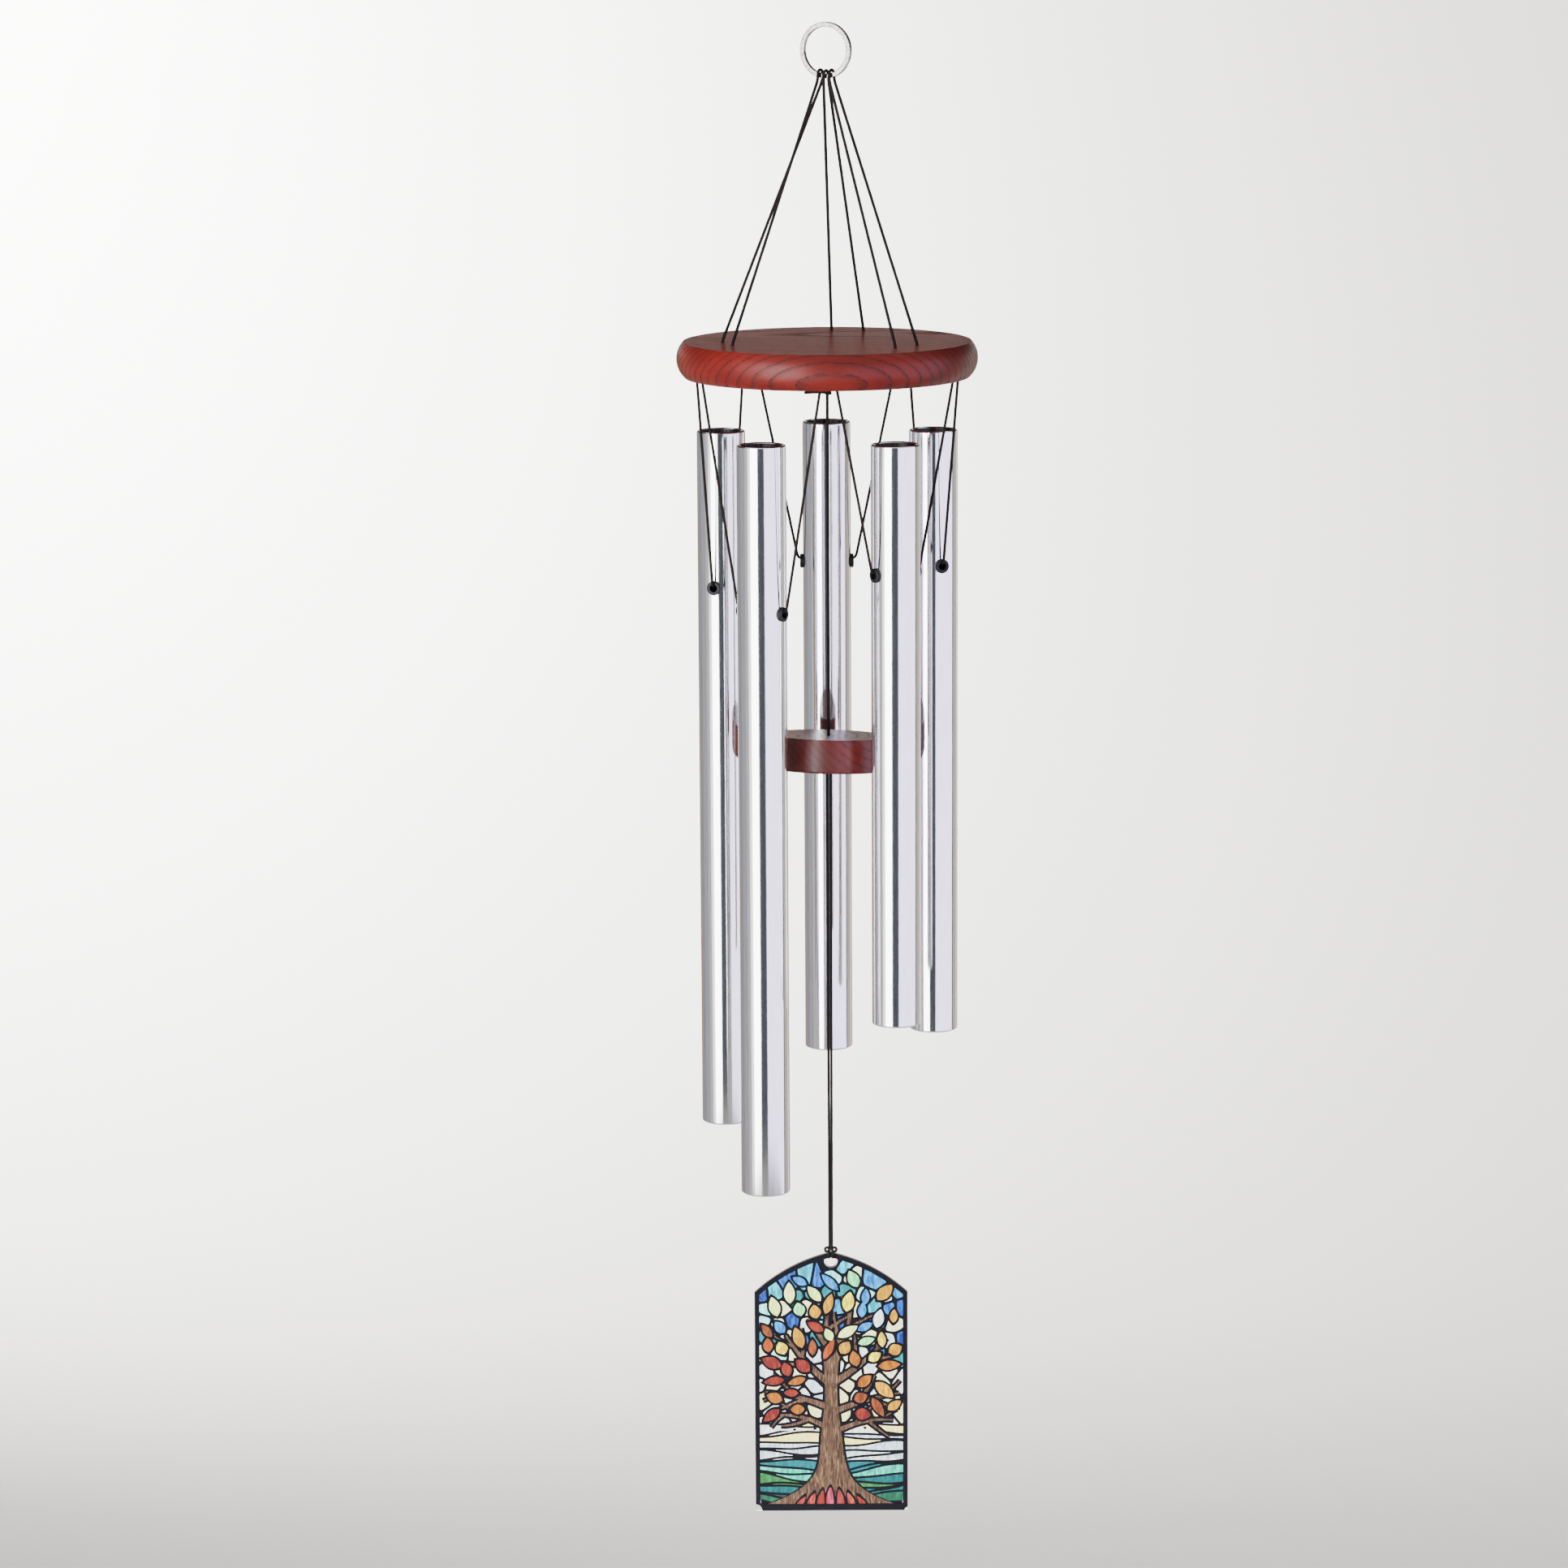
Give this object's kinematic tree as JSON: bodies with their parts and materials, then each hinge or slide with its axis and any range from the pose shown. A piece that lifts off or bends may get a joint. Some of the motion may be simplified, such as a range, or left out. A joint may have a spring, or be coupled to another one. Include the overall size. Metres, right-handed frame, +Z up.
{
  "type": "wind chime",
  "caption": "Hanging wind chime: metal ring, corded wooden disc platform, graded aluminium tubes on a laced cord, wooden clapper and a flat printed sail",
  "frame": {"origin": "centre of the hanging ring", "axes": "+Z up, along the hanging height; -Y is the front, which the sail faces; the ring's own axis is turned 27 degrees about Z"},
  "size_m": [0.136, 0.136, 0.692],
  "materials": {
    "ring_metal": "polished bright",
    "stained_wood": "cherry stain under satin lacquer",
    "cord_black": "braided polyester cord",
    "tube_metal": "polished drawn tube",
    "grommet_rubber": "moulded black rubber",
    "sail_panel": "clear acrylic, printed"
  },
  "bodies": {
    "ring": {"hanging_ring": "ring_metal"},
    "canopy": {"platform": "stained_wood", "suspension_knots": "cord_black", "lacing_knot": "cord_black", "lacing_tail": "cord_black", "clapper_cord_anchor": "cord_black", "suspension_cord_left": "cord_black", "suspension_cord_back": "cord_black", "suspension_cord_right": "cord_black", "lacing_link_front": "cord_black", "lacing_link_left": "cord_black", "lacing_link_back_left": "cord_black", "lacing_link_back_right": "cord_black", "lacing_link_right": "cord_black"},
    "cord_front_left": {"tube_cord_front_left": "cord_black"},
    "tube_front_left": {"tube_front_left": "tube_metal", "grommet_front_left_a": "grommet_rubber", "grommet_front_left_b": "grommet_rubber"},
    "cord_back_left": {"tube_cord_back_left": "cord_black"},
    "tube_back_left": {"tube_back_left": "tube_metal", "grommet_back_left_a": "grommet_rubber", "grommet_back_left_b": "grommet_rubber"},
    "cord_centre_back": {"tube_cord_centre_back": "cord_black"},
    "tube_centre_back": {"tube_centre_back": "tube_metal", "grommet_centre_back_a": "grommet_rubber", "grommet_centre_back_b": "grommet_rubber"},
    "cord_back_right": {"tube_cord_back_right": "cord_black"},
    "tube_back_right": {"tube_back_right": "tube_metal", "grommet_back_right_a": "grommet_rubber", "grommet_back_right_b": "grommet_rubber"},
    "cord_front_right": {"tube_cord_front_right": "cord_black"},
    "tube_front_right": {"tube_front_right": "tube_metal", "grommet_front_right_a": "grommet_rubber", "grommet_front_right_b": "grommet_rubber"},
    "clapper_knot": {"clapper_knot": "cord_black"},
    "clapper": {"clapper_cord": "cord_black", "clapper": "stained_wood", "clapper_stop_knot": "cord_black"},
    "sail_cord": {"sail_cord": "cord_black"},
    "sail_hitch": {"sail_hitch": "cord_black"},
    "sail": {"sail": "sail_panel"}
  },
  "joints": [
    {"name": "chime_swing", "type": "hinge", "parent": "ring", "child": "canopy", "pos_m": [0, 0, -0.01145], "axis": [0.891, -0.454, 0], "range_deg": [-25, 25]},
    {"name": "swing_front_left", "type": "hinge", "parent": "canopy", "child": "cord_front_left", "pos_m": [-0.02985, -0.04108, -0.1464], "axis": [-0.809, 0.5878, 0], "range_deg": [-3.4, 15]},
    {"name": "rock_front_left", "type": "hinge", "parent": "cord_front_left", "child": "tube_front_left", "pos_m": [-0.02985, -0.04108, -0.24559], "axis": [0.809, -0.5878, 0], "range_deg": [-6, 6]},
    {"name": "swing_back_left", "type": "hinge", "parent": "canopy", "child": "cord_back_left", "pos_m": [-0.04829, 0.01569, -0.1464], "axis": [0.309, 0.9511, 0], "range_deg": [-3.4, 15]},
    {"name": "rock_back_left", "type": "hinge", "parent": "cord_back_left", "child": "tube_back_left", "pos_m": [-0.04829, 0.01569, -0.24137], "axis": [-0.309, -0.9511, 0], "range_deg": [-6, 6]},
    {"name": "swing_centre_back", "type": "hinge", "parent": "canopy", "child": "cord_centre_back", "pos_m": [0, 0.05078, -0.1464], "axis": [1, 0, 0], "range_deg": [-3.4, 15]},
    {"name": "rock_centre_back", "type": "hinge", "parent": "cord_centre_back", "child": "tube_centre_back", "pos_m": [0, 0.05078, -0.23547], "axis": [-1, 0, 0], "range_deg": [-6, 6]},
    {"name": "swing_back_right", "type": "hinge", "parent": "canopy", "child": "cord_back_right", "pos_m": [0.04829, 0.01569, -0.1464], "axis": [-0.309, 0.9511, 0], "range_deg": [-15, 3.4]},
    {"name": "rock_back_right", "type": "hinge", "parent": "cord_back_right", "child": "tube_back_right", "pos_m": [0.04829, 0.01569, -0.23182], "axis": [0.309, -0.9511, 0], "range_deg": [-6, 6]},
    {"name": "swing_front_right", "type": "hinge", "parent": "canopy", "child": "cord_front_right", "pos_m": [0.02985, -0.04108, -0.1464], "axis": [0.809, 0.5878, 0], "range_deg": [-15, 3.4]},
    {"name": "rock_front_right", "type": "hinge", "parent": "cord_front_right", "child": "tube_front_right", "pos_m": [0.02985, -0.04108, -0.22837], "axis": [-0.809, -0.5878, 0], "range_deg": [-6, 6]},
    {"name": "clapper_swing_fore_aft", "type": "hinge", "parent": "canopy", "child": "clapper_knot", "pos_m": [0, 0, -0.1475], "axis": [1, 0, 0], "range_deg": [-3.4, 3.4]},
    {"name": "clapper_swing_side", "type": "hinge", "parent": "clapper_knot", "child": "clapper", "pos_m": [0, 0, -0.1475], "axis": [0, 1, 0], "range_deg": [-3.4, 3.4]},
    {"name": "sail_cord_swing", "type": "hinge", "parent": "clapper", "child": "sail_cord", "pos_m": [0, 0, -0.3232], "axis": [0, 1, 0], "range_deg": [-12, 12]},
    {"name": "sail_turn", "type": "hinge", "parent": "sail_cord", "child": "sail_hitch", "pos_m": [0, 0, -0.55102], "axis": [0, 0, 1], "range_deg": [-180, 180]},
    {"name": "sail_flutter", "type": "hinge", "parent": "sail_hitch", "child": "sail", "pos_m": [0, 0, -0.55463], "axis": [1, 0, 0], "range_deg": [-40, 40]}
  ]
}
